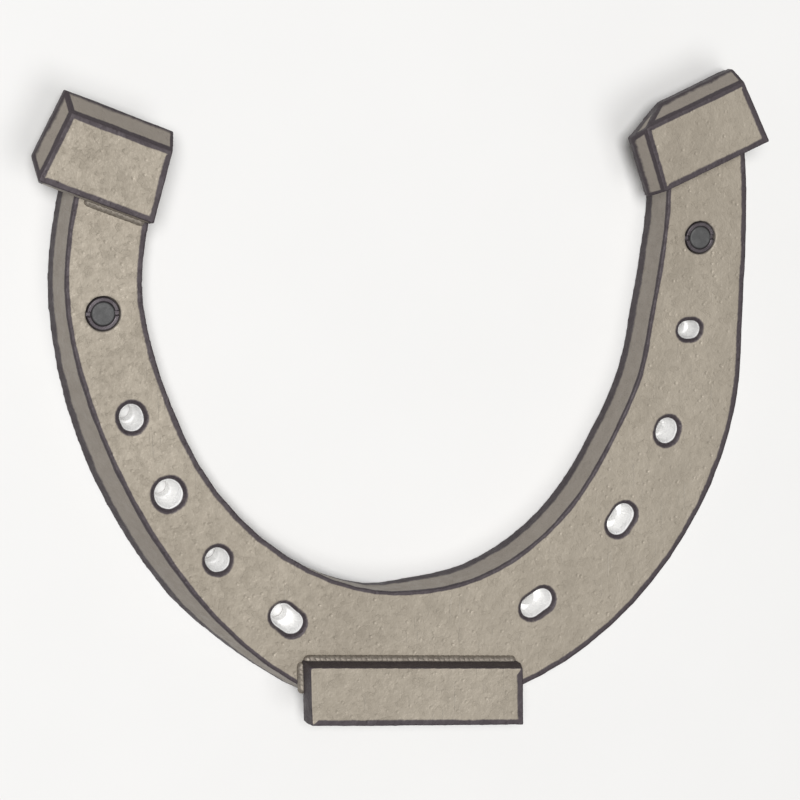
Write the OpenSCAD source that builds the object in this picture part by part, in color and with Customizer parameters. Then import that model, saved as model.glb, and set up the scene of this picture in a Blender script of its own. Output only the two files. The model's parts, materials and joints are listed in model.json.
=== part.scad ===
// Heavy forged horseshoe with a toe calk, two heel calks and two screw-in road studs.
// The hoof face lies on Z = 0, the ground face and the calks point up, and the toe points to -Y.
// Left is the -X branch and right is the +X branch. The two branches are forged to different widths.

/* [Shoe] */
// Thickness from the hoof face to the ground face
shoe_t = 13; // [12:0.5:15]
// How far the outer edge reaches forward at the toe
toe_reach = 85.5; // [84:0.5:87]
// Sideways place of the toe point
toe_x = 4; // [2:0.5:6]
// Web width at the toe
toe_web = 35; // [32:0.5:37]
// Outer edge of the left branch at its widest, from the centre line
left_half_w = 94; // [92:0.5:96]
// Outer edge of the right branch at its widest, from the centre line
right_half_w = 99; // [97:0.5:101]
// How far behind the centre the left branch is widest
left_widest_y = 37; // [25:1:45]
// The same on the right branch
right_widest_y = 10; // [0:1:20]
// Fullness of the left curve beside its widest point, where 0.55 is an ellipse
left_fullness = 0.3; // [0.25:0.05:0.5]
// Fullness of the right curve beside its widest point
right_fullness = 0.45; // [0.35:0.05:0.6]
// Fullness of both curves at the toe
toe_fullness = 0.6; // [0.5:0.05:0.7]
// Length behind the centre where the outer edges end
heel_reach = 90; // [88:0.5:92]
// How far in from its widest point the left heel ends
left_heel_tuck = 9; // [6:0.5:11]
// The same on the right
right_heel_tuck = 3; // [2:0.5:5]
// Lean of the outer edges at the heels
heel_lean = 9; // [5:1:14]
// Web width of the left branch
left_web = 20.5; // [20:0.5:22]
// Web width of the right branch
right_web = 24; // [23:0.5:25]
// Distance from the toe, along the outer edge, where the left web starts to widen
left_web_start = 115; // [80:5:130]
// The same on the right
right_web_start = 205; // [150:5:210]
// Distance from the toe where the left web is as wide as at the toe
left_web_full = 0; // [0:5:50]
// The same on the right
right_web_full = 100; // [60:5:120]
// How far the hoof edge stands out past the ground edge at the quarters
quarter_slope = 5; // [3:0.1:5.5]
// The same at the heels
heel_slope = 2; // [0.5:0.1:2.5]
// The same at the toe
toe_slope = 2.4; // [2:0.1:4]
// The same on the inner edge of the right branch and the toe
right_inner_slope = 0.9; // [0.5:0.1:1.5]
// The same on the inner edge of the left branch, below zero where the wall is undercut
left_inner_slope = -0.9; // [-1.2:0.1:0.5]

/* [Nail holes] */
// Place of the left holes and stud across the web, from 0 at the outer edge to 1 at the inner edge
left_nail_line = 0.46; // [0.4:0.01:0.5]
// The same on the right
right_nail_line = 0.56; // [0.5:0.01:0.6]
// Distance from the toe to the rear left hole, along the outer edge
left_rear_nail = 131; // [128:1:134]
// Pitch of the three rear left holes
left_nail_pitch = 24.5; // [23:0.5:26]
// Distance from the toe to the front left hole
left_front_nail = 53; // [50:1:55]
// Distance from the toe to the rear right hole
right_rear_nail = 156; // [153:1:158]
// Pitch of the three rear right holes
right_nail_pitch = 34.5; // [33:0.5:36]
// Distance from the toe to the front right hole
right_front_nail = 45; // [43:1:48]
// Radius of the round bore for the nail's shank
bore_r = 2.1; // [1.8:0.1:2.1]
// Length of that bore, up from the hoof face
bore_l = 5; // [4:0.5:7]
// Width and depth of the chamfer round the tapered socket for the nail's head
socket_chamfer = 1; // [0.6:0.1:1.2]

/* [Calks] */
// Height of the toe calk above the ground face
toe_calk_h = 7; // [5:0.5:12]
// Height of the heel calks above the ground face
heel_calk_h = 8; // [5:0.5:14]
// Height of the straight foot of a calk, below its tapered sides
calk_foot_h = 2.5; // [2:0.1:3]
// Sideways place of the middle of the toe calk's face
toe_calk_x = 0; // [-2:0.5:2]
// Place of that middle in front of the centre
toe_calk_y = -78.5; // [-79.5:0.5:-76]
// Turn of the toe calk
toe_calk_turn = -5.5; // [-8:0.5:0]
// Length of the toe calk's face
toe_calk_l = 62; // [58:0.5:64]
// Width of the toe calk's face
toe_calk_w = 16.5; // [15.5:0.5:18]
// How far the heel edge of that face is shifted sideways
toe_calk_shift = -2; // [-3:0.5:0]
// Sideways place of the middle of the left heel calk's face
left_calk_x = -83.5; // [-84.5:0.5:-82]
// Place of that middle behind the centre
left_calk_y = 69; // [68:0.5:71]
// Turn of the left heel calk
left_calk_turn = -22; // [-25:1:-18]
// Length of the left calk's face at its heel edge
left_calk_heel_l = 28; // [26:0.5:30]
// Length of that face at its toe edge
left_calk_toe_l = 32; // [28:0.5:33]
// Width of that face
left_calk_w = 19; // [17:0.5:20]
// Sideways place of the middle of the right heel calk's face
right_calk_x = 83; // [82:0.5:84.5]
// Place of that middle behind the centre
right_calk_y = 72.5; // [71.5:0.5:74]
// Turn of the right heel calk
right_calk_turn = 22.5; // [20:0.5:25]
// Length of the right calk's face at its heel edge
right_calk_heel_l = 31.5; // [29:0.5:33]
// Length of that face at its toe edge
right_calk_toe_l = 34; // [32:0.5:35]
// Width of that face
right_calk_w = 18.5; // [17:0.5:20]
// How far the toe calk's foot stands out past its face at the heel edge, right end, toe edge, left end
toe_calk_draft = [0.3, 1, 0.3, 0.3]; // [0.3:0.1:2]
// The same on the left calk
left_calk_draft = [5, 0.4, 0.6, 3]; // [0.3:0.1:6]
// The same on the right calk
right_calk_draft = [3.4, 0.5, 0.6, 3]; // [0.3:0.1:6]
// What is cut off the foot at the left calk's outer toe corner, along its toe edge
left_cut_edge = 5; // [3:0.5:5.5]
// The same along its outer end
left_cut_end = 6; // [3:0.5:9]
// What is cut off the foot at the right calk's inner heel corner, along its heel edge
right_cut_edge = 11; // [8:0.5:12]
// The same along its inner end
right_cut_end = 5.5; // [3:0.5:6]
// How far a branch stops short of the heel edge of its calk
heel_setback = 3; // [2.5:0.1:4]
// The same where the right calk's corner is cut off
corner_setback = 5; // [4:0.1:5.5]
// Radius of the locating spur under the toe calk
spur_r = 2.45; // [2:0.05:2.95]
// Depth of that spur in the shoe
spur_l = 6; // [4:0.5:8]
// Leg of a weld bead
weld_leg = 1.4; // [1:0.1:2]

/* [Studs] */
// Distance from the toe to the left stud, along the outer edge
left_stud_far = 162; // [159:1:166]
// Distance from the toe to the right stud
right_stud_far = 182; // [179:1:185]
// Radius of the rim of a stud
stud_rim_r = 4.4; // [4.3:0.1:5]
// Height of the rim
stud_rim_h = 2.2; // [2.1:0.1:3]
// Outside radius of the stud's thread
stud_thread_r = 4; // [3.6:0.1:4.1]
// Length of the stud's thread
stud_thread_l = 9.4; // [8:0.1:9.6]
// Radius of the hard face of the core
core_head_r = 3.1; // [2.4:0.1:3.3]
// Height of the hard face
core_head_h = 2; // [1.2:0.1:2]
// Radius of the core's shank
core_shank_r = 1.7; // [1.2:0.1:2]
// Length of the core's shank
core_shank_l = 6; // [4:0.5:7]

/* [Hidden] */
$fn = 64;

steel = [0.67, 0.635, 0.576];
weld_metal = [0.33, 0.30, 0.32];
stud_steel = [0.30, 0.29, 0.30];
hard_metal = [0.36, 0.36, 0.36];

// Radial clearance of a turning or sliding fit
fit = 0.05;
// Extra length of a cutting tool past the face that it cuts
over = 1;
// Points along each curve of an outline
steps = 18;
// Bezier handles of the heel curves, as parts of the straight distance between their ends
heel_handle_part = 0.48;
widest_handle_part = 0.33;

// The outer wall's slope changes between these places in Y: heels to quarters, then quarters to toe
heel_change_y = [45, -20];
toe_change_y = [-42, -72];
// The inner wall's slope changes from the left value to the right one between these places in X
inner_change_x = [-12, 8];

// The sockets of a branch from heel to toe, each punched a little differently by hand: half width at
// the mouth, extra length, turn from the branch's direction. The rear right one lies across the branch.
left_sockets = [[3, 1, 0], [3.7, 0.5, 0], [3, 0.5, 0], [3, 3.5, 0]];
right_sockets = [[2.3, 1.5, 90], [3, 1, 0], [3, 3, 0], [3, 3.5, 0]];

// Where the weld beads start and end, as parts of a calk's edge
toe_weld = [0.01, 0.99];
toe_left_end_weld = [0.45, 0.96];
toe_right_end_weld = [0.04, 0.55];
left_weld = [0.03, 0.58];
right_weld = [0.17, 0.82];
left_under_weld = [0.27, 0.80];
right_under_weld = [0.20, 0.80];

function mix(a, b, f) = a + (b - a) * f;
function smooth(f) = let (c = max(0, min(1, f))) c * c * (3 - 2 * c);
function unit(v) = v / norm(v);
function turned_left(v) = [-v.y, v.x];
function reversed(list) = [for (i = [len(list) - 1:-1:0]) list[i]];
function bezier(p, f) = pow(1 - f, 3) * p[0] + 3 * pow(1 - f, 2) * f * p[1]
    + 3 * (1 - f) * pow(f, 2) * p[2] + pow(f, 3) * p[3];
function curve(p) = [for (i = [1:steps]) bezier(p, i / steps)];

// One half of the outer edge, from its heel end to the toe: two Bezier curves that meet upright at the
// widest point. side is -1 on the left and 1 on the right.
function outer_half(side, half_w, widest_y, tuck, fullness) = let (
    toe = [toe_x, -toe_reach],
    widest = [side * half_w, widest_y],
    heel = [side * (half_w - tuck), heel_reach],
    chord = norm(heel - widest),
    heel_handle = heel + [side * sin(heel_lean), -cos(heel_lean)] * heel_handle_part * chord,
    toe_handle = toe + [side * toe_fullness * abs(widest.x - toe.x), 0])
    concat([heel],
        curve([heel, heel_handle, widest + [0, widest_handle_part * chord], widest]),
        curve([widest, widest - [0, fullness * (widest_y - toe.y)], toe_handle, toe]));

// Points pushed sideways off an outline that runs from the left heel to the right heel. A push above
// zero moves them to the left of the line, which is into the space between the branches.
function direction(p, i) = unit(p[min(i + 1, len(p) - 1)] - p[max(i - 1, 0)]);
function pushed(p, push) = [for (i = [0:len(p) - 1]) p[i] + turned_left(direction(p, i)) * push[i]];
function part_way(v, ends) = smooth((v - ends[0]) / (ends[1] - ends[0]));
function outer_push(p) = -mix(mix(heel_slope, quarter_slope, part_way(p.y, heel_change_y)),
    toe_slope, part_way(p.y, toe_change_y));
function inner_push(p) = mix(left_inner_slope, right_inner_slope, part_way(p.x, inner_change_x));

// The outer edge on the ground face, and the inner edge, which lies one web width inside it
right_half = reversed(outer_half(1, right_half_w, right_widest_y, right_heel_tuck, right_fullness));
ground_outer = concat(outer_half(-1, left_half_w, left_widest_y, left_heel_tuck, left_fullness),
    [for (i = [1:len(right_half) - 1]) right_half[i]]);
toe_i = 2 * steps;
function length_between(i, j) = i >= j ? 0
    : norm(ground_outer[i + 1] - ground_outer[i]) + length_between(i + 1, j);
function web_at(i) = i < toe_i
    ? mix(left_web, toe_web, part_way(length_between(i, toe_i), [left_web_start, left_web_full]))
    : mix(right_web, toe_web, part_way(length_between(toe_i, i), [right_web_start, right_web_full]));
ground_inner = pushed(ground_outer, [for (i = [0:len(ground_outer) - 1]) web_at(i)]);
hoof_outer = pushed(ground_outer, [for (p = ground_outer) outer_push(p)]);
hoof_inner = pushed(ground_inner, [for (p = ground_inner) inner_push(p)]);

// A place on a branch: [x, y] and the direction of the outer edge there. far is the distance from the
// toe along that edge, and share goes from 0 at the outer edge to 1 at the inner edge.
function walk(i, step, far) = let (leg = norm(ground_outer[i + step] - ground_outer[i]))
    far <= leg ? [i, far / leg] : walk(i + step, step, far - leg);
function on_branch(side, far, share) = let (
    stop = walk(toe_i, side, far),
    i = stop[0],
    outer = mix(ground_outer[i], ground_outer[i + side], stop[1]),
    inner = mix(ground_inner[i], ground_inner[i + side], stop[1]),
    heading = ground_outer[i + side] - ground_outer[i])
    [mix(outer, inner, share), atan2(heading.y, heading.x)];

// The nail holes of a branch, from heel to toe: three at an even pitch and the front one
function nail_holes(side, rear, pitch, front, line) =
    [for (far = [rear, rear - pitch, rear - 2 * pitch, front]) on_branch(side, far, line)];
left_holes = nail_holes(-1, left_rear_nail, left_nail_pitch, left_front_nail, left_nail_line);
right_holes = nail_holes(1, right_rear_nail, right_nail_pitch, right_front_nail, right_nail_line);
left_stud_at = on_branch(-1, left_stud_far, left_nail_line)[0];
right_stud_at = on_branch(1, right_stud_far, right_nail_line)[0];

// The four corners of a calk's face, from the left heel corner round by the right. size is the length
// at the heel edge, the length at the toe edge and the width.
function face(at, turn, size, shift = 0) = [
    for (c = [[shift - size[0], size[2]], [shift + size[0], size[2]],
        [size[1] - shift, -size[2]], [-size[1] - shift, -size[2]]] / 2)
        at + [c.x * cos(turn) - c.y * sin(turn), c.x * sin(turn) + c.y * cos(turn)]];

// A four-sided outline with each side moved outwards, in the order heel, right, toe, left
function moved_side(p, i, by) = let (a = p[i], b = p[(i + 1) % 4])
    [a + turned_left(unit(b - a)) * by[i], b - a];
function meeting(e, f) = e[0] + e[1] * cross(f[0] - e[0], f[1]) / cross(e[1], f[1]);
function grown(p, by) = [for (i = [0:3]) meeting(moved_side(p, (i + 3) % 4, by), moved_side(p, i, by))];

// A four-sided outline with corner k cut off, by these lengths along the sides before and after it
function corner_cut(p, k, cut) = [for (i = [0:3]) each i != k ? [p[i]]
    : [p[i] + unit(p[(i + 3) % 4] - p[i]) * cut[0], p[i] + unit(p[(i + 1) % 4] - p[i]) * cut[1]]];

toe_calk_at = [toe_calk_x, toe_calk_y];
toe_calk_tip = face(toe_calk_at, toe_calk_turn, [toe_calk_l, toe_calk_l, toe_calk_w], toe_calk_shift);
toe_calk_base = grown(toe_calk_tip, toe_calk_draft);
left_calk_tip = face([left_calk_x, left_calk_y], left_calk_turn,
    [left_calk_heel_l, left_calk_toe_l, left_calk_w]);
left_calk_base = corner_cut(grown(left_calk_tip, left_calk_draft), 3, [left_cut_edge, left_cut_end]);
right_calk_tip = face([right_calk_x, right_calk_y], right_calk_turn,
    [right_calk_heel_l, right_calk_toe_l, right_calk_w]);
right_calk_base = corner_cut(grown(right_calk_tip, right_calk_draft), 0, [right_cut_end, right_cut_edge]);

function raised(list, z) = [for (p = list) [p.x, p.y, z]];

// The bar of the shoe: four edge lines joined section by section, with a closed end at each heel
module bar() {
    n = len(ground_outer);
    lines = [raised(ground_outer, shoe_t), raised(ground_inner, shoe_t),
        raised(hoof_inner, 0), raised(hoof_outer, 0)];
    points = [for (line = lines) each line];
    sides = [for (k = [0:3]) let (a = k * n, b = ((k + 1) % 4) * n) for (i = [0:n - 2])
        each [[a + i, b + i, b + i + 1], [a + i, b + i + 1, a + i + 1]]];
    ends = [[3 * n, 2 * n, n, 0], [n - 1, 2 * n - 1, 3 * n - 1, 4 * n - 1]];
    polyhedron(points, concat(sides, ends), 10);
}

// Everything past a line that lies this far inside an edge of a calk
module heel_cut(a, b, setback = heel_setback) {
    long = norm(b - a);
    translate([a.x, a.y, -over])
        rotate([0, 0, atan2(b.y - a.y, b.x - a.x)])
            translate([-long, -setback, 0])
                cube([3 * long, 4 * heel_setback + 20, shoe_t + 2 * over]);
}

// A cutting tool with round ends: an obround of half width r1 at the bottom and r2 at the top
module slot_tool(extra, r1, r2, h) {
    for (end = [-1, 1])
        translate([end * extra / 2, 0, 0])
            cylinder(r1 = r1, r2 = r2, h = h);
    rotate([90, 0, 90])
        translate([0, 0, -extra / 2])
            linear_extrude(extra)
                polygon([[-r1, 0], [r1, 0], [r2, h], [-r2, h]]);
}

module nail_hole(place, socket) {
    at = place[0];
    mouth_r = socket[0];
    extra = socket[1];
    translate([at.x, at.y, 0])
        rotate([0, 0, place[1] + socket[2]]) {
            translate([0, 0, -over])
                cylinder(r = bore_r, h = bore_l + 2 * over);
            translate([0, 0, bore_l])
                slot_tool(extra, bore_r, mouth_r, shoe_t - bore_l);
            translate([0, 0, shoe_t - socket_chamfer])
                slot_tool(extra, mouth_r, mouth_r + 2 * socket_chamfer, 2 * socket_chamfer);
        }
}

module stud_hole(at) {
    translate([at.x, at.y, -over])
        cylinder(r = stud_thread_r + fit, h = shoe_t + 2 * over);
    translate([at.x, at.y, shoe_t - stud_rim_h])
        cylinder(r = stud_rim_r + 2 * fit, h = stud_rim_h + over);
}

module shoe() {
    color(steel)
        difference() {
            bar();
            heel_cut(left_calk_base[0], left_calk_base[1]);
            heel_cut(right_calk_base[1], right_calk_base[2]);
            heel_cut(right_calk_base[0], right_calk_base[1], setback = corner_setback);
            for (i = [0:3]) {
                nail_hole(left_holes[i], left_sockets[i]);
                nail_hole(right_holes[i], right_sockets[i]);
            }
            stud_hole(left_stud_at);
            stud_hole(right_stud_at);
            translate([toe_calk_at.x, toe_calk_at.y, shoe_t - spur_l - 2 * fit])
                cylinder(r = spur_r + fit, h = spur_l + over);
        }
}

// A calk: a straight foot with the base outline, then sides that lean in to the tip outline
module calk(base, tip, h) {
    land = 0.5;
    color(steel)
        translate([0, 0, shoe_t])
            hull() {
                linear_extrude(calk_foot_h)
                    polygon(base);
                translate([0, 0, h - land])
                    linear_extrude(land)
                        polygon(tip);
            }
}

module toe_calk() {
    calk(toe_calk_base, toe_calk_tip, toe_calk_h);
    color(steel)
        translate([toe_calk_at.x, toe_calk_at.y, shoe_t - spur_l])
            cylinder(r = spur_r, h = spur_l);
}

module left_heel_calk() {
    calk(left_calk_base, left_calk_tip, heel_calk_h);
}

module right_heel_calk() {
    calk(right_calk_base, right_calk_tip, heel_calk_h);
}

// A quarter-round bead along the part of an edge from a to b, on the left of the edge and inset from
// it. It lies on the ground face or, with under = true, against the underside of a calk.
module bead(a, b, part, inset = 0, under = false) {
    from = mix(a, b, part[0]) + turned_left(unit(b - a)) * -inset;
    color(weld_metal)
        translate([from.x, from.y, shoe_t])
            rotate([90, 0, atan2(b.y - a.y, b.x - a.x) + 90])
                linear_extrude(norm(b - a) * (part[1] - part[0]))
                    intersection() {
                        circle(r = weld_leg);
                        translate([0, under ? -weld_leg : 0])
                            square(weld_leg);
                    }
}

module toe_calk_weld() {
    bead(toe_calk_base[0], toe_calk_base[1], toe_weld);
}

module toe_calk_left_end_weld() {
    bead(toe_calk_base[3], toe_calk_base[0], toe_left_end_weld);
}

module toe_calk_right_end_weld() {
    bead(toe_calk_base[1], toe_calk_base[2], toe_right_end_weld);
}

module left_heel_calk_weld() {
    bead(left_calk_base[2], left_calk_base[3], left_weld);
}

module left_heel_calk_under_weld() {
    bead(left_calk_base[0], left_calk_base[1], left_under_weld, inset = heel_setback, under = true);
}

module right_heel_calk_weld() {
    bead(right_calk_base[3], right_calk_base[4], right_weld);
}

module right_heel_calk_under_weld() {
    bead(right_calk_base[1], right_calk_base[2], right_under_weld, inset = heel_setback, under = true);
}

// The threaded sleeve of a stud, with a pocket for the core and two notches for a peg spanner
module stud_sleeve(at) {
    lead = 0.8;
    notch = 1.2;
    foot_z = shoe_t - stud_rim_h - stud_thread_l;
    color(stud_steel)
        translate([at.x, at.y, 0])
            difference() {
                union() {
                    translate([0, 0, shoe_t - stud_rim_h])
                        cylinder(r = stud_rim_r, h = stud_rim_h);
                    translate([0, 0, foot_z + lead])
                        cylinder(r = stud_thread_r, h = stud_thread_l - lead);
                    translate([0, 0, foot_z])
                        cylinder(r1 = stud_thread_r - lead, r2 = stud_thread_r, h = lead);
                }
                translate([0, 0, shoe_t - core_head_h])
                    cylinder(r = core_head_r + fit, h = core_head_h + over);
                translate([0, 0, shoe_t - core_head_h - core_shank_l - 2 * fit])
                    cylinder(r = core_shank_r + fit, h = core_shank_l + over);
                translate([-stud_rim_r - over, -notch / 2, shoe_t - notch])
                    cube([2 * (stud_rim_r + over), notch, notch + over]);
            }
}

// The hard core of a stud: a round face on a thin shank
module stud_core(at) {
    color(hard_metal)
        translate([at.x, at.y, 0]) {
            translate([0, 0, shoe_t - core_head_h])
                cylinder(r = core_head_r, h = core_head_h);
            translate([0, 0, shoe_t - core_head_h - core_shank_l])
                cylinder(r = core_shank_r, h = core_shank_l);
        }
}

shoe();
toe_calk();
left_heel_calk();
right_heel_calk();
toe_calk_weld();
toe_calk_left_end_weld();
toe_calk_right_end_weld();
left_heel_calk_weld();
left_heel_calk_under_weld();
right_heel_calk_weld();
right_heel_calk_under_weld();
stud_sleeve(left_stud_at);  // left_stud_sleeve
stud_core(left_stud_at);  // left_stud_core
stud_sleeve(right_stud_at);  // right_stud_sleeve
stud_core(right_stud_at);  // right_stud_core
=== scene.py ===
"""Looks for a heavy forged horseshoe with calks, weld beads and screw-in road studs.

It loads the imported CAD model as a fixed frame, replaces each solid with a detailed mesh built from that
solid's own shape or sizes, and sets up materials, a pale floor, soft studio light and the camera. Lengths
of the object are in millimetres, and MM turns them into Blender's metres. The floor and the lights are set
out in metres.
"""

import json
import math

import bmesh
import bpy
import numpy as np
from mathutils import Matrix, Vector, noise
from mathutils.bvhtree import BVHTree
from mathutils.kdtree import KDTree


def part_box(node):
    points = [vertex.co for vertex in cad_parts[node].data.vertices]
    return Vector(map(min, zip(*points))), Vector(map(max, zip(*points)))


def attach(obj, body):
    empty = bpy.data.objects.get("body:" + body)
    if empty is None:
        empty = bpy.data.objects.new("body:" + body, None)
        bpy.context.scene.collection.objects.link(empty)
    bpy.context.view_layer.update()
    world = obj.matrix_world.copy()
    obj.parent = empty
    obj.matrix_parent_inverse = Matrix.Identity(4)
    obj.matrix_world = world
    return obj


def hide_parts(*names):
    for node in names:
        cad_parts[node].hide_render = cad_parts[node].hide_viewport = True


MM = 0.001

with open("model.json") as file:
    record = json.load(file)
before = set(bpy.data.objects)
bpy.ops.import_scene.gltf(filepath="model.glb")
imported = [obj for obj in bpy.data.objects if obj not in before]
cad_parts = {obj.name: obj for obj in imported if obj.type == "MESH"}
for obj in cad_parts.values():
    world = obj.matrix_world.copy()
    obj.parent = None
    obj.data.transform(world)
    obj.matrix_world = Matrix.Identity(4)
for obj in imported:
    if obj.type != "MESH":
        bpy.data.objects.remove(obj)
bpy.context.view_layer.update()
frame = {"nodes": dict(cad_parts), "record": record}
record = frame["record"]
scene = bpy.context.scene

SHOE_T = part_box("shoe")[1].z / MM
BODY_OF = {n: b for b, members in record["behaviour"]["bodies"].items() for n in members}
SLOT_OF = {s["node"]: s["material_slot"] for s in record["subparts"]}
HOLES = [Vector(m["pos_m"]) / MM for m in record["mounts"] if m["kind"] == "bore"]


# ---------------------------------------------------------------- camera, light and floor

def add_camera():
    """Looks down on the ground face, tilted towards the heels and to the left, and gives its three axes."""
    tilt_x, tilt_y, lens, distance = 0.33, 0.17, 120.0, 720.0
    target = Vector((-3.0, 3.0, SHOE_T))
    up_z = math.sqrt(1 - tilt_x**2 - tilt_y**2)
    lean = tilt_y / up_z
    k = 1 / math.sqrt(1 + lean**2)
    image_y = Vector((0.0, k, k * lean))
    image_z = Vector((tilt_x, -tilt_y, up_z))
    image_x = image_y.cross(image_z)
    right, up, back = Matrix((image_x, image_y, image_z)).transposed()
    camera = bpy.data.objects.new("camera", bpy.data.cameras.new("camera"))
    scene.collection.objects.link(camera)
    rotation = Matrix((right, up, back)).transposed().to_4x4()
    camera.matrix_world = Matrix.Translation((target + back * distance) * MM) @ rotation
    camera.data.lens = lens
    camera.data.sensor_width = 36.0
    camera.data.clip_start, camera.data.clip_end = 0.01, 20.0
    scene.camera = camera
    return back, right, up


def add_area_light(name, direction, distance, size, watts):
    data = bpy.data.lights.new(name, "AREA")
    data.shape, data.size, data.energy = "DISK", size, watts
    light = bpy.data.objects.new(name, data)
    scene.collection.objects.link(light)
    direction = direction.normalized()
    light.location = direction * distance
    light.rotation_mode = "QUATERNION"
    light.rotation_quaternion = (-direction).to_track_quat("-Z", "Y")


def add_world(strength):
    world = bpy.data.worlds.new("studio")
    scene.world = world
    world.use_nodes = True
    background = world.node_tree.nodes["Background"]
    background.inputs["Color"].default_value = (1, 1, 1, 1)
    background.inputs["Strength"].default_value = strength


def add_floor(material, half_side=6.0):
    mesh = bpy.data.meshes.new("floor")
    s = half_side
    mesh.from_pydata([(-s, -s, 0), (s, -s, 0), (s, s, 0), (-s, s, 0)], [], [(0, 1, 2, 3)])
    mesh.materials.append(material)
    floor = bpy.data.objects.new("floor", mesh)
    scene.collection.objects.link(floor)


# ---------------------------------------------------------------- material nodes

class Nodes:
    """A short way to write a material's node tree."""

    MIX_A, MIX_B, MIX_RESULT = 6, 7, 2  # the Mix node's colour sockets, whose names its other sockets share

    def __init__(self, name):
        self.material = bpy.data.materials.new(name)
        self.material.use_nodes = True
        self.tree = self.material.node_tree
        self.tree.nodes.clear()
        self.out = self.new("ShaderNodeOutputMaterial")
        self.shader = self.new("ShaderNodeBsdfPrincipled")
        self.link(self.shader.outputs[0], self.out.inputs["Surface"])

    def new(self, kind, **settings):
        node = self.tree.nodes.new(kind)
        for key, value in settings.items():
            setattr(node, key, value)
        return node

    def link(self, a, b):
        self.tree.links.new(a, b)

    def put(self, value, socket):
        if isinstance(value, bpy.types.NodeSocket):
            self.link(value, socket)
        else:
            socket.default_value = value

    def math(self, operation, *values):
        node = self.new("ShaderNodeMath", operation=operation)
        for value, socket in zip(values, node.inputs):
            self.put(value, socket)
        return node.outputs[0]

    def centred(self, value, width):
        """A value from 0 to 1 moved to lie about 0, so wide from end to end."""
        return self.math("MULTIPLY_ADD", value, width, -width / 2)

    def ramp(self, value, low, high, to_low=0.0, to_high=1.0):
        node = self.new("ShaderNodeMapRange", interpolation_type="SMOOTHSTEP")
        for socket, v in zip(node.inputs, (value, low, high, to_low, to_high)):
            self.put(v, socket)
        return node.outputs[0]

    def mix(self, factor, a, b):
        node = self.new("ShaderNodeMix", data_type="RGBA")
        self.put(factor, node.inputs["Factor"])
        for value, i in ((a, self.MIX_A), (b, self.MIX_B)):
            self.put((*value, 1) if isinstance(value, tuple) else value, node.inputs[i])
        return node.outputs[self.MIX_RESULT]

    def attribute(self, name):
        return self.new("ShaderNodeAttribute", attribute_name=name).outputs["Fac"]

    def place(self, stretch=(1, 1, 1), turn=(0, 0, 0)):
        coordinates = self.new("ShaderNodeTexCoord").outputs["Object"]
        mapping = self.new("ShaderNodeMapping")
        mapping.inputs["Scale"].default_value = stretch
        mapping.inputs["Rotation"].default_value = turn
        self.link(coordinates, mapping.inputs["Vector"])
        return mapping.outputs[0]

    def noise(self, size_mm, detail=3.0, roughness=0.55, place=None):
        node = self.new("ShaderNodeTexNoise")
        node.inputs["Scale"].default_value = 1 / (size_mm * MM)
        node.inputs["Detail"].default_value = detail
        node.inputs["Roughness"].default_value = roughness
        self.link(place or self.place(), node.inputs["Vector"])
        return node.outputs["Fac"]

    def cells(self, size_mm):
        node = self.new("ShaderNodeTexVoronoi")
        node.inputs["Scale"].default_value = 1 / (size_mm * MM)
        self.link(self.place(), node.inputs["Vector"])
        return node.outputs["Distance"]

    def bump(self, height, depth_mm):
        node = self.new("ShaderNodeBump")
        node.inputs["Strength"].default_value = 1.0
        node.inputs["Distance"].default_value = depth_mm * MM
        self.put(height, node.inputs["Height"])
        return node.outputs[0]

    def finish(self, **sockets):
        """Fills the shader's sockets, each named with _ for a space, and gives the material."""
        for name, value in sockets.items():
            socket = self.shader.inputs[name.replace("_", " ")]
            self.put((*value, 1) if isinstance(value, tuple) else value, socket)
        return self.material


FACE = (0.322, 0.282, 0.226)
FACE_DARK = (0.278, 0.242, 0.193)
FACE_LIGHT = (0.376, 0.332, 0.270)
# the colour of side walls, darker than the flat faces: painted shade
PAINTED_WALL_SHADE = (0.305, 0.270, 0.232)
LINE = (0.070, 0.056, 0.063)
# painted light: the near-white colour of the nail holes' insides
PAINTED_HOLE_LIGHT = (0.95, 0.945, 0.935)
RUBBED = (0.50, 0.46, 0.40)
FORGED_METALLIC = 0.35


def darkened(colour, share):
    return tuple(c * share for c in colour)


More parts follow.
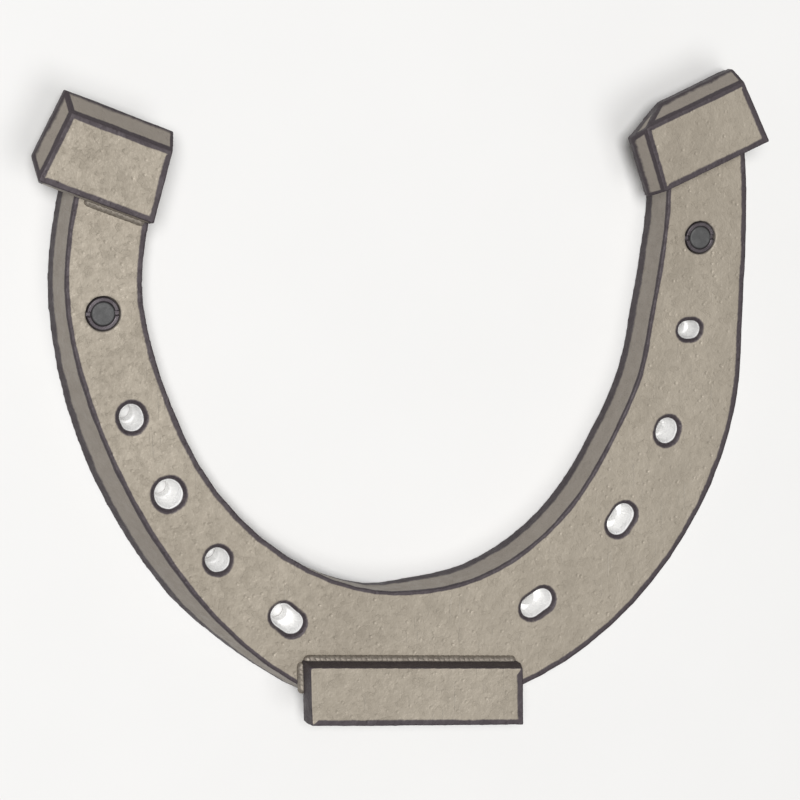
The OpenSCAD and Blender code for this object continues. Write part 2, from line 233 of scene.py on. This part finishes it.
def steel_material(name, punched=False):
    """Forged steel under taupe oxide. Vertex attributes place its dark edge scale, partly painted shade
    (line), its side walls darkened as painted shade (wall) and, on a punched piece, the insides of its nail
    holes painted near-white as painted light (bore)."""
    n = Nodes(name)
    mottle = n.noise(26, detail=4, roughness=0.6)
    scale_flakes = n.noise(3.2, detail=5, roughness=0.62)
    grain = n.noise(0.7, detail=3, roughness=0.6)
    strokes = n.noise(1.6, detail=3, place=n.place(stretch=(1, 0.22, 1), turn=(0, 0, 0.5)))
    base = n.mix(n.ramp(mottle, 0.34, 0.66), FACE_DARK, FACE_LIGHT)
    base = n.mix(0.55, base, FACE)
    base = n.mix(n.ramp(scale_flakes, 0.60, 0.72, 0.0, 0.35), base, FACE_DARK)
    base = n.mix(n.ramp(strokes, 0.60, 0.75, 0.0, 0.30), base, FACE_LIGHT)
    # painted shade: side walls, marked by the wall attribute, take a darker colour than the flat faces
    wall_painted_shade = n.mix(n.ramp(mottle, 0.3, 0.7), darkened(PAINTED_WALL_SHADE, 0.92), PAINTED_WALL_SHADE)
    base = n.mix(n.attribute("wall"), base, wall_painted_shade)
    scratches = n.noise(0.5, detail=2, place=n.place(stretch=(1, 0.03, 1), turn=(0, 0, 0.9)))
    scratch = n.math("MULTIPLY", n.ramp(scratches, 0.66, 0.72), n.ramp(mottle, 0.45, 0.65))
    base = n.mix(n.math("MULTIPLY", scratch, 0.35), base, RUBBED)

    wobble = n.centred(n.noise(7, detail=3), 0.5)
    fray = n.centred(n.noise(0.9, detail=2), 0.2)
    line = n.math("ADD", n.math("ADD", n.attribute("line"), wobble), fray)
    stroke = n.ramp(line, 0.82, 1.12, 1.0, 0.0)
    dark = n.mix(n.ramp(grain, 0.35, 0.75), darkened(LINE, 0.8), LINE)
    colour, metallic = n.mix(stroke, base, dark), FORGED_METALLIC
    if punched:
        # painted light: the nail holes' insides are near-white and not metallic
        bore = n.ramp(n.attribute("bore"), -0.12, 0.12)
        colour = n.mix(bore, colour, PAINTED_HOLE_LIGHT)
        metallic = n.math("MULTIPLY_ADD", bore, -FORGED_METALLIC, FORGED_METALLIC)

    rough = n.math("ADD", n.ramp(scale_flakes, 0.3, 0.7, 0.50, 0.68), n.ramp(grain, 0.3, 0.7, -0.05, 0.07))
    relief = n.math("ADD", scale_flakes, n.math("MULTIPLY", grain, 0.35))
    pits = n.ramp(n.cells(2.3), 0.0, 0.28, -0.5, 0.0)
    flake_edges = n.ramp(scale_flakes, 0.56, 0.60, 0.0, -0.25)
    marks = n.math("ADD", flake_edges, n.math("MULTIPLY", scratch, -0.3))
    height = n.math("ADD", n.math("ADD", relief, pits), marks)
    return n.finish(Base_Color=colour, Metallic=metallic, Roughness=rough, Normal=n.bump(height, 0.22))


def weld_material():
    n = Nodes("weld_metal_look")
    grain = n.noise(0.8, detail=4)
    heat = n.noise(5, detail=3)
    colour = n.mix(n.ramp(grain, 0.35, 0.7), (0.235, 0.205, 0.172), (0.320, 0.284, 0.238))
    colour = n.mix(n.ramp(heat, 0.5, 0.7, 0.0, 0.35), colour, (0.20, 0.165, 0.14))
    rough = n.ramp(grain, 0.3, 0.7, 0.45, 0.65)
    return n.finish(Base_Color=colour, Metallic=0.5, Roughness=rough, Normal=n.bump(grain, 0.12))


def stained_metal(name, dark, light, grain_mm, stain_mm, rough, metallic, depth_mm):
    """Bare dark metal with a fine grain and faint stains. rough is its (smoothest, roughest) value."""
    n = Nodes(name)
    grain = n.noise(grain_mm, detail=4)
    colour = n.mix(n.ramp(n.noise(stain_mm, detail=3), 0.35, 0.7), dark, light)
    return n.finish(Base_Color=colour, Metallic=metallic, Roughness=n.ramp(grain, 0.3, 0.7, *rough),
                    Normal=n.bump(grain, depth_mm))


def stud_material():
    return stained_metal("stud_steel_look", (0.060, 0.050, 0.056), (0.095, 0.083, 0.090),
                         grain_mm=0.35, stain_mm=2.5, rough=(0.38, 0.55), metallic=0.6, depth_mm=0.03)


def core_material():
    return stained_metal("hard_metal_look", (0.072, 0.072, 0.072), (0.096, 0.096, 0.096),
                         grain_mm=0.25, stain_mm=1.6, rough=(0.52, 0.70), metallic=0.4, depth_mm=0.04)


def floor_material():
    n = Nodes("floor_look")
    tone = n.noise(60, detail=3)
    colour = n.mix(tone, (0.74, 0.735, 0.725), (0.77, 0.765, 0.755))
    return n.finish(Base_Color=colour, Roughness=0.85)


# ---------------------------------------------------------------- mesh helpers

def points_of(mesh):
    co = np.empty(len(mesh.vertices) * 3, np.float32)
    mesh.vertices.foreach_get("co", co)
    return co.reshape(-1, 3).astype(float) / MM


def set_points(mesh, points):
    mesh.vertices.foreach_set("co", (points * MM).astype(np.float32).ravel())
    mesh.update()


def normals_of(mesh):
    no = np.empty(len(mesh.vertices) * 3, np.float32)
    mesh.vertices.foreach_get("normal", no)
    return no.reshape(-1, 3).astype(float)


def smooth_step(values, low, high):
    f = np.clip((np.asarray(values, float) - low) / (high - low), 0, 1)
    return f * f * (3 - 2 * f)


def welded(node):
    """The CAD node's mesh as a bmesh in millimetres, with its split vertices joined."""
    bm = bmesh.new()
    bm.from_mesh(frame["nodes"][node].data)
    bmesh.ops.scale(bm, vec=(1 / MM,) * 3, verts=bm.verts)
    bmesh.ops.remove_doubles(bm, verts=bm.verts, dist=0.002)
    bm.normal_update()
    return bm


def sharp_edges(bm, least_degrees=24):
    limit = math.radians(least_degrees)
    return [e for e in bm.edges if len(e.link_faces) == 2 and e.calc_face_angle(0) > limit]


def remeshed(name, bm, voxel, smoothing):
    """A new object with an even mesh that lies on the same surface, its edges a little rounded."""
    mesh = bpy.data.meshes.new(name)
    bm.to_mesh(mesh)
    mesh.transform(Matrix.Scale(MM, 4))
    ob = bpy.data.objects.new(name, mesh)
    surface = bpy.data.objects.new(name + "_surface", mesh.copy())
    for made in (ob, surface):
        scene.collection.objects.link(made)
    remesh = ob.modifiers.new("remesh", "REMESH")
    remesh.mode, remesh.voxel_size, remesh.use_smooth_shade = "VOXEL", voxel * MM, True
    even = ob.modifiers.new("even", "SMOOTH")
    even.factor, even.iterations = 0.5, 2
    back_on = ob.modifiers.new("back_on", "SHRINKWRAP")
    back_on.wrap_method, back_on.target = "NEAREST_SURFACEPOINT", surface
    smooth = ob.modifiers.new("smooth", "SMOOTH")
    smooth.factor, smooth.iterations = 0.5, smoothing
    ob.data = evaluated_mesh(ob)
    ob.modifiers.clear()
    bpy.data.objects.remove(surface)
    return ob


def evaluated_mesh(ob):
    bpy.context.view_layer.update()
    graph = bpy.context.evaluated_depsgraph_get()
    return bpy.data.meshes.new_from_object(ob.evaluated_get(graph))


def thinned(ob, most_triangles):
    triangles = sum(len(p.vertices) - 2 for p in ob.data.polygons)
    if triangles > most_triangles:
        thin = ob.modifiers.new("thin", "DECIMATE")
        thin.ratio = most_triangles / triangles
        ob.data = evaluated_mesh(ob)
        ob.modifiers.clear()
    for p in ob.data.polygons:
        p.use_smooth = True


def hammered(ob, depth, grain_depth, blow=11.0, small_blow=5.2, grain_size=1.7):
    """Shallow hammer marks and forging scale, pushed inwards along the surface's normals."""
    points, normals = points_of(ob.data), normals_of(ob.data)
    push = np.empty(len(points))
    for i, p in enumerate(points):
        v = Vector(p)
        marks = noise.noise(v / blow) * 0.6 + noise.noise(v / small_blow + Vector((31, 7, 3))) * 0.4
        grain = noise.fractal(v / grain_size, 0.9, 2.1, 3)
        push[i] = min(0.0, depth * (marks - 0.45)) + grain_depth * (grain - 0.8)
    set_points(ob.data, points + normals * np.minimum(push, 0)[:, None])


# ---------------------------------------------------------------- pieces

def place_piece(ob, node, material):
    ob.data.materials.clear()
    ob.data.materials.append(material)
    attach(ob, BODY_OF[node])
    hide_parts(node)


SHADED = Vector((0.88, -0.48))  # walls that face this way are hidden from the usual view


def facing_hidden(outward):
    """0 on walls that the usual view shows and 1 on those it hides."""
    return float(smooth_step(outward.dot(SHADED), -0.25, 0.35))


class Strokes:
    """Bands of dark scale along edges, and painted shade where a band runs up a wall from its foot. Each edge
    has one width on flat faces and one on walls.
    """

    SPACING = 0.25  # between the points that stand for an edge
    FAR = 4.0       # the largest distance given, in band widths

    def __init__(self, edges, widths):
        """widths(outward) gives (width on flat faces, width on walls), from the way the edge's wall faces."""
        points, self.widths = [], []
        for e in edges:
            wall = min(e.link_faces, key=lambda f: abs(f.normal.z))
            width = widths(Vector(wall.normal.xy).normalized())
            a, b = e.verts[0].co, e.verts[1].co
            steps = max(1, int((b - a).length / self.SPACING))
            for i in range(steps + 1):
                points.append(a.lerp(b, i / steps))
                self.widths.append(width)
        self.tree = KDTree(len(points))
        for i, p in enumerate(points):
            self.tree.insert(p, i)
        self.tree.balance()

    def at(self, p, on_wall):
        """The distance to the nearest edge as a share of the band's width. on_wall goes from 0 to 1."""
        _, i, distance = self.tree.find(p)
        flat, wall = self.widths[i]
        return min(self.FAR, distance / (flat + (wall - flat) * on_wall))


def wall_share(upright):
    """1 on side walls and 0 on flat faces, from how upright the normal is."""
    return 1 - smooth_step(upright, 0.75, 0.95)


def set_looks(ob, **looks):
    """Stores the vertex attributes that steel_material reads, each one number or one for every vertex."""
    for name, values in looks.items():
        attribute = ob.data.attributes.new(name, "FLOAT", "POINT")
        every = np.broadcast_to(values, len(ob.data.vertices))
        attribute.data.foreach_set("value", every.astype(np.float32))


STUDS = {side: sum(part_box(f"{side}_stud_core"), Vector()) / 2 / MM for side in ("left", "right")}


def within(p, centres, reach):
    return any((p.x - c.x) ** 2 + (p.y - c.y) ** 2 < reach**2 for c in centres)


def build_shoe(material):
    flat = 0.1  # an edge this close to a face's height lies on it
    bm = welded("shoe")
    outline = [e for e in sharp_edges(bm) if not any(
        within(v.co, HOLES, 6.2) or within(v.co, STUDS.values(), 5.2) for v in e.verts)]
    ground = Strokes([e for e in outline if min(v.co.z for v in e.verts) > SHOE_T - flat],
                     lambda outward: (1.15 + 0.6 * facing_hidden(outward), 1.1))
    # on walls this band runs far up from the floor: edge scale and painted shade where the wall meets the
    # floor
    hoof = Strokes([e for e in outline if max(v.co.z for v in e.verts) < flat],
                   lambda outward: (1.2, 4.0 - 2.8 * facing_hidden(outward)))
    chamfers = face_tree([f for f in bm.faces if 0.5 < f.normal.z < 0.9
                          and within(f.calc_center_median(), HOLES, 6.6)])
    ob = remeshed("shoe_forging", bm, voxel=0.5, smoothing=3)
    bm.free()
    hammered(ob, depth=0.22, grain_depth=0.05)
    thinned(ob, most_triangles=190000)

    points, normals = points_of(ob.data), normals_of(ob.data)
    # wall marks the side walls, which steel_material darkens as painted shade; it also widens the bands on
    # walls
    wall = wall_share(np.abs(normals[:, 2]))
    line, bore = np.empty(len(points)), np.full(len(points), -1.0)
    for i, point in enumerate(points):
        p = Vector(point)
        line[i] = min(ground.at(p, wall[i]), hoof.at(p, wall[i]))
        if within(p, HOLES, 7.5):
            line[i] = min(line[i], 0.7 + chamfers.find_nearest(p)[3] / 1.6)
            # bore marks the nail holes' insides, which steel_material paints near-white as painted light
            bore[i] = max(-1.0, min(1.0, SHOE_T - 1.0 - p.z, (p.z - 0.5) * 2))
    set_looks(ob, line=line, wall=wall, bore=bore)
    place_piece(ob, "shoe", material)


def face_tree(faces):
    """A tree that finds the nearest point on these faces alone."""
    verts, polys = [], []
    for f in faces:
        polys.append(tuple(range(len(verts), len(verts) + len(f.verts))))
        verts += [v.co.copy() for v in f.verts]
    return BVHTree.FromPolygons(verts, polys)


def build_calk(node, material):
    bm = welded(node)
    top_z = max(v.co.z for v in bm.verts)
    toe = node == "toe_calk"
    edges = [e for e in sharp_edges(bm, 20) if min(v.co.z for v in e.verts) > SHOE_T - 0.01]
    tip = [e for e in edges if min(v.co.z for v in e.verts) > top_z - 0.1]
    base = [e for e in edges if max(v.co.z for v in e.verts) < SHOE_T + 0.1]
    upright = [e for e in edges if abs(e.verts[0].co.z - e.verts[1].co.z) > 1.5]

    def tip_width(outward):
        # these toe calk walls are painted dark all over as painted shade further down, so their own bands
        # stay narrow
        if toe and (outward.y > 0.7 or outward.x < -0.7):
            return 0.3, 1.3
        return 1.2 + 0.6 * facing_hidden(outward), 1.5

    # on walls this band runs up from the shoe's face: edge scale and painted shade where the calk meets the
    # shoe
    def base_width(outward):
        return 1.0, 3.7 - 2.3 * facing_hidden(outward)

    def upright_width(_):
        return 0.8, 1.1

    strokes = [Strokes(tip, tip_width), Strokes(base, base_width), Strokes(upright, upright_width)]
    ob = remeshed(node + "_forging", bm, voxel=0.35, smoothing=3)
    bm.free()
    hammered(ob, depth=0.16, grain_depth=0.04)
    thinned(ob, most_triangles=60000)

    points, normals = points_of(ob.data), normals_of(ob.data)
    # wall marks the side walls, which steel_material darkens as painted shade; it also widens the bands on
    # walls
    wall = wall_share(normals[:, 2])
    line = np.array([min(s.at(Vector(p), w) for s in strokes) for p, w in zip(points, wall)])
    # painted shade: the toe calk's heel-facing and left-facing walls are dark all over
    if toe:
        painted_shade_walls = (normals[:, 1] > 0.7) | (normals[:, 0] < -0.7)
        line = np.where(painted_shade_walls, 0.0, line)
    set_looks(ob, line=line, wall=wall)
    place_piece(ob, node, material)


def tube_object(name, rings):
    """A closed tube from rings of points in millimetres, each ring a list of the same length."""
    bm = bmesh.new()
    rows = [[bm.verts.new(p) for p in ring] for ring in rings]
    count = len(rows[0])
    for a, b in zip(rows, rows[1:]):
        for i in range(count):
            j = (i + 1) % count
            bm.faces.new((a[i], a[j], b[j], b[i]))
    bm.faces.new(list(reversed(rows[0])))
    bm.faces.new(rows[-1])
    return bm_object(name, bm)


def bm_object(name, bm):
    bmesh.ops.recalc_face_normals(bm, faces=bm.faces)
    bmesh.ops.scale(bm, vec=(MM,) * 3, verts=bm.verts)
    mesh = bpy.data.meshes.new(name)
    bm.to_mesh(mesh)
    bm.free()
    for p in mesh.polygons:
        p.use_smooth = True
    ob = bpy.data.objects.new(name, mesh)
    scene.collection.objects.link(ob)
    return ob


BEAD_STEP, BEAD_SIDES, BEAD_SUNK = 0.16, 10, 0.25
END_LENGTH, END_SHARE = 1.3, 0.25      # how far a bead's end tapers, and to what share of its size
RIPPLE_PITCH, RIPPLE_DEPTH, RIPPLE_BOW, RIPPLE_DRIFT, LUMP = 1.5, 0.13, 0.55, 0.35, 0.05


def quarter_round(share):
    """Rises from 0 to 1 along a quarter circle, steep at first."""
    return math.sqrt(max(0.0, 1 - (1 - share) ** 2))


def from_corner(share, length):
    """A share of a signed length. A negative share is millimetres the other way, into the metal."""
    return math.copysign(1, length) * (share if share < 0 else share * abs(length))


def build_weld(node, material):
    """A rippled fillet bead laid where the CAD bead lies."""
    bm = welded(node)
    longest = max(sharp_edges(bm, 60), key=lambda e: e.calc_length())
    along = (longest.verts[1].co - longest.verts[0].co).normalized()
    across = Vector((-along.y, along.x, 0))
    points = [v.co.copy() for v in bm.verts]
    bm.free()
    heights = [p.z - SHOE_T for p in points]
    leg = max(heights, key=abs)
    tip_points = [p for p, h in zip(points, heights) if abs(h) > abs(leg) - 0.01]
    corner = sum((p.dot(across) for p in tip_points), 0.0) / len(tip_points)
    reach = max((p.dot(across) - corner for p in points), key=abs)
    starts = [p.dot(along) for p in points]
    s0, s1 = min(starts), max(starts)
    count = int((s1 - s0) / BEAD_STEP)
    rings = []
    for i in range(count + 1):
        s = s0 + (s1 - s0) * i / count
        end = min(s - s0, s1 - s) / END_LENGTH
        taper = quarter_round(min(1.0, end)) * (1 - END_SHARE) + END_SHARE
        drift = RIPPLE_DRIFT * noise.noise(Vector((s / 3.1, leg, 0)))
        outline = []
        for k in range(BEAD_SIDES + 1):
            a = math.pi / 2 * k / BEAD_SIDES
            phase = ((s + RIPPLE_BOW * math.sin(2 * a) + drift) / RIPPLE_PITCH) % 1.0
            ripple = 1 - RIPPLE_DEPTH * (1 - quarter_round(phase))
            lump = 1 - LUMP * (1 + noise.noise(Vector((s / 2.3, k * 0.3, 5.0))))
            r = taper * ripple * lump
            outline.append((math.cos(a) * reach * r, math.sin(a) * leg * r))
        for u, z in ((-BEAD_SUNK, taper * 0.8), (-BEAD_SUNK, -BEAD_SUNK), (taper * 0.8, -BEAD_SUNK)):
            outline.append((from_corner(u, reach), from_corner(z, leg)))
        rings.append([along * s + across * (corner + u) + Vector((0, 0, SHOE_T + z)) for u, z in outline])
    place_piece(tube_object(node + "_bead", rings), node, material)


THREAD_PITCH, CREST_R, ROOT_R = 1.25, 3.98, 3.3
RIM_H, HEAD_H, SHANK_R = 2.2, 2.0, 1.7
NOTCH_HALF, NOTCH_DEEP = 0.6, 1.2      # the spanner notches across the rim
CORE_FIT = 0.05                        # between the core and the sleeve round it
THREAD_CLEARANCE, TAPPED_R = 0.10, 4.35
TURNED_STEPS, TURNED_SPACING = 160, 0.16


def thread_height(angle, z):
    """0 at the root and 1 at the crest of a right-hand thread, at a height over the stud's foot."""
    phase = (z / THREAD_PITCH - angle / (2 * math.pi)) % 1.0
    return float(np.clip(1.25 - abs(phase - 0.5) * 3.1, 0, 1))


def lathe(name, centre, profile, steps, shape=None):
    """Turns a closed (radius, z) profile about the vertical line through centre. shape(angle, radius, z)
    may move each point as it turns."""
    bm = bmesh.new()
    rows = []
    for i in range(steps):
        a = 2 * math.pi * i / steps
        turned = [shape(a, r, z) if shape else (r, z) for r, z in profile]
        rows.append([bm.verts.new((centre.x + r * math.cos(a), centre.y + r * math.sin(a), z))
                     for r, z in turned])
    count = len(profile)
    for i in range(steps):
        a, b = rows[i], rows[(i + 1) % steps]
        for k in range(count):
            j = (k + 1) % count
            bm.faces.new((a[k], b[k], b[j], a[j]))
    bmesh.ops.remove_doubles(bm, verts=bm.verts, dist=0.0005)
    return bm_object(name, bm)


def subdivided(corners, spacing):
    """Points along a closed polyline of (radius, z) corners, no further apart than spacing."""
    out = []
    for (r0, z0), (r1, z1) in zip(corners, corners[1:] + corners[:1]):
        n = max(1, math.ceil(math.hypot(r1 - r0, z1 - z0) / spacing))
        out += [(r0 + (r1 - r0) * i / n, z0 + (z1 - z0) * i / n) for i in range(n)]
    return out


def build_stud(side, stud, core):
    """The sleeve with its thread, rim and spanner notches, and the core pressed into it."""
    centre = STUDS[side]
    low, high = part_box(f"{side}_stud_sleeve")
    foot, top, rim_r = low.z / MM, high.z / MM, (high.x - low.x) / 2 / MM
    core_low, core_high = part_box(f"{side}_stud_core")
    head_r, core_foot = (core_high.x - core_low.x) / 2 / MM, core_low.z / MM
    rim_z, head_z = top - RIM_H, top - HEAD_H
    pocket, bore = head_r + CORE_FIT, SHANK_R + CORE_FIT
    corners = [
        (bore, core_foot - 0.1), (bore, head_z), (pocket, head_z), (pocket, top - 0.2),
        (pocket + 0.2, top - 0.02), (rim_r - 0.25, top - 0.02), (rim_r - 0.02, top - 0.27),
        (rim_r - 0.02, rim_z + 0.15), (rim_r - 0.17, rim_z), (ROOT_R, rim_z), (ROOT_R, foot + 0.1),
        (ROOT_R - 0.3, foot), (0.0, foot), (0.0, core_foot - 0.1)]

    def shape(a, r, z):
        if abs(r - ROOT_R) < 0.01 and z < rim_z - 0.02:
            fade = max(0.0, min(1.0, (z - foot) / 1.3, (rim_z - z) / 0.5))
            r = ROOT_R + (CREST_R - ROOT_R) * thread_height(a, z - foot) * fade
        if abs(r * math.sin(a)) < NOTCH_HALF and r > pocket - 0.01 and z > top - NOTCH_DEEP:
            z = top - NOTCH_DEEP + 0.02 * (z - top + NOTCH_DEEP)
        return r, z

    sleeve = lathe(f"{side}_stud_sleeve_turned", centre, subdivided(corners, TURNED_SPACING), TURNED_STEPS,
                   shape)
    place_piece(sleeve, f"{side}_stud_sleeve", stud)
    pressed = subdivided([
        (0.0, core_foot), (SHANK_R - 0.2, core_foot), (SHANK_R, core_foot + 0.2), (SHANK_R, head_z),
        (head_r - 0.1, head_z), (head_r, head_z + 0.1), (head_r, top - 0.28), (head_r - 0.28, top - 0.03),
        (head_r * 0.55, top - 0.01), (0.0, top - 0.04)], 0.2)
    place_piece(lathe(f"{side}_stud_core_pressed", centre, pressed, steps=96), f"{side}_stud_core", core)


def build_hole_thread(side, material):
    """The thread cut in the shoe for a stud. It follows the stud's own thread at a small clearance and
    fades out at both ends, inside the metal."""
    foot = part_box(f"{side}_stud_sleeve")[0].z / MM
    low, high, faded = 0.4, SHOE_T - RIM_H - 0.25, TAPPED_R - 0.1

    def shape(a, r, z):
        if r < TAPPED_R - 0.01:
            fade = min(1.0, (z - low) / 0.5, (high - z) / 0.5)
            full = ROOT_R + (CREST_R - ROOT_R) * thread_height(a, z - foot) + THREAD_CLEARANCE
            r = faded + (full - faded) * max(0.0, fade)
        return r, z

    corners = [(ROOT_R, low), (TAPPED_R, low), (TAPPED_R, high), (ROOT_R, high)]
    ob = lathe(f"{side}_stud_hole_thread", STUDS[side], subdivided(corners, TURNED_SPACING), TURNED_STEPS,
               shape)
    ob.data.materials.append(material)
    # painted shade: the tapped thread is dark all over, with the side-wall colour and most of the band colour
    set_looks(ob, line=0.9, wall=1.0, bore=-1.0)
    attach(ob, BODY_OF["shoe"])


def build():
    forged = steel_material("forged_steel_look", punched=True)
    calk = steel_material("calk_steel_look")
    weld, stud, core = weld_material(), stud_material(), core_material()
    build_shoe(forged)
    for node in ("toe_calk", "left_heel_calk", "right_heel_calk"):
        build_calk(node, calk)
    for node in [n for n, slot in SLOT_OF.items() if slot == "weld_metal"]:
        build_weld(node, weld)
    for side in STUDS:
        build_stud(side, stud, core)
        build_hole_thread(side, forged)


back, right, up = add_camera()
scene.view_settings.view_transform = "Standard"
scene.view_settings.look = "None"
add_world(strength=0.12)
add_area_light("key", back + right * 0.55 - up * 0.45, distance=1.6, size=1.0, watts=8)
add_area_light("front", back + right * 0.06, distance=3.0, size=1.1, watts=80)
add_floor(floor_material())
build()
